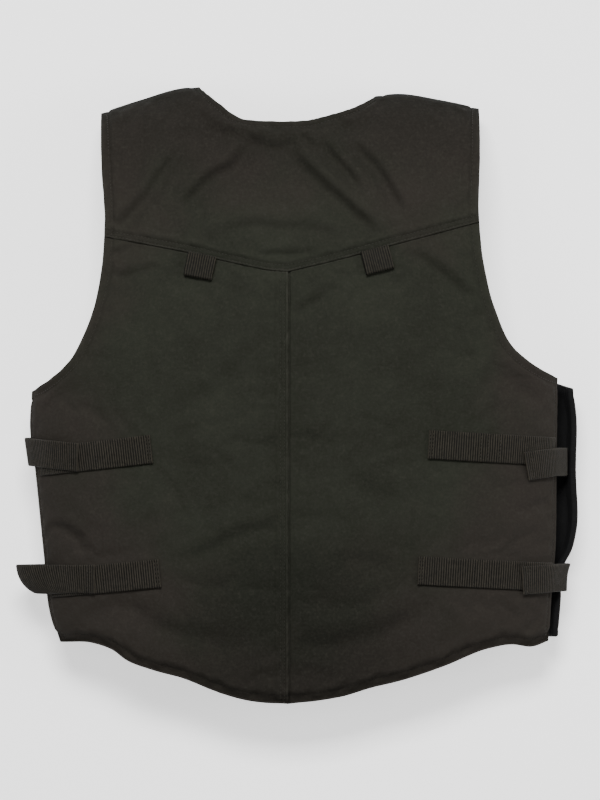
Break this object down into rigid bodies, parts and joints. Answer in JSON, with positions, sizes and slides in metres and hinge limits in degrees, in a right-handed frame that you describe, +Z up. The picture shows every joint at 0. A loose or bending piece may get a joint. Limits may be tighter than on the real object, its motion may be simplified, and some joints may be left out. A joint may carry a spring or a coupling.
{
  "type": "equestrian body protector",
  "caption": "Padded riding vest with a pointed back yoke, centre back seam, ribbed side straps, hanging loops and a front zip, lying on its front with the back up.",
  "frame": {"origin": "middle of the vest's footprint, at the floor that it lies on", "axes": "+Z up out of the back, +Y towards the neck, +X towards the wearer's right side, which is the picture's right"},
  "size_m": [0.507, 0.555, 0.1092],
  "materials": {
    "waxed_cloth": "matt black-brown waxed cloth",
    "front_cloth": "matt black cloth",
    "ribbed_webbing": "matt ribbed webbing",
    "zip_plastic": "matt black"
  },
  "bodies": {
    "root": {"back_yoke": "waxed_cloth", "back_left_panel": "waxed_cloth", "back_right_panel": "waxed_cloth", "front_left_panel": "front_cloth", "front_right_panel": "front_cloth", "hanging_loop_left": "ribbed_webbing", "hanging_loop_right": "ribbed_webbing", "back_strip_left_upper": "ribbed_webbing", "back_strip_left_lower": "ribbed_webbing", "back_strip_right_upper": "ribbed_webbing", "back_strip_right_lower": "ribbed_webbing", "side_strap_left_upper": "ribbed_webbing", "side_strap_left_lower": "ribbed_webbing", "side_strap_right_upper": "ribbed_webbing", "side_strap_right_lower": "ribbed_webbing", "front_zip": "zip_plastic"}
  },
  "joints": []
}
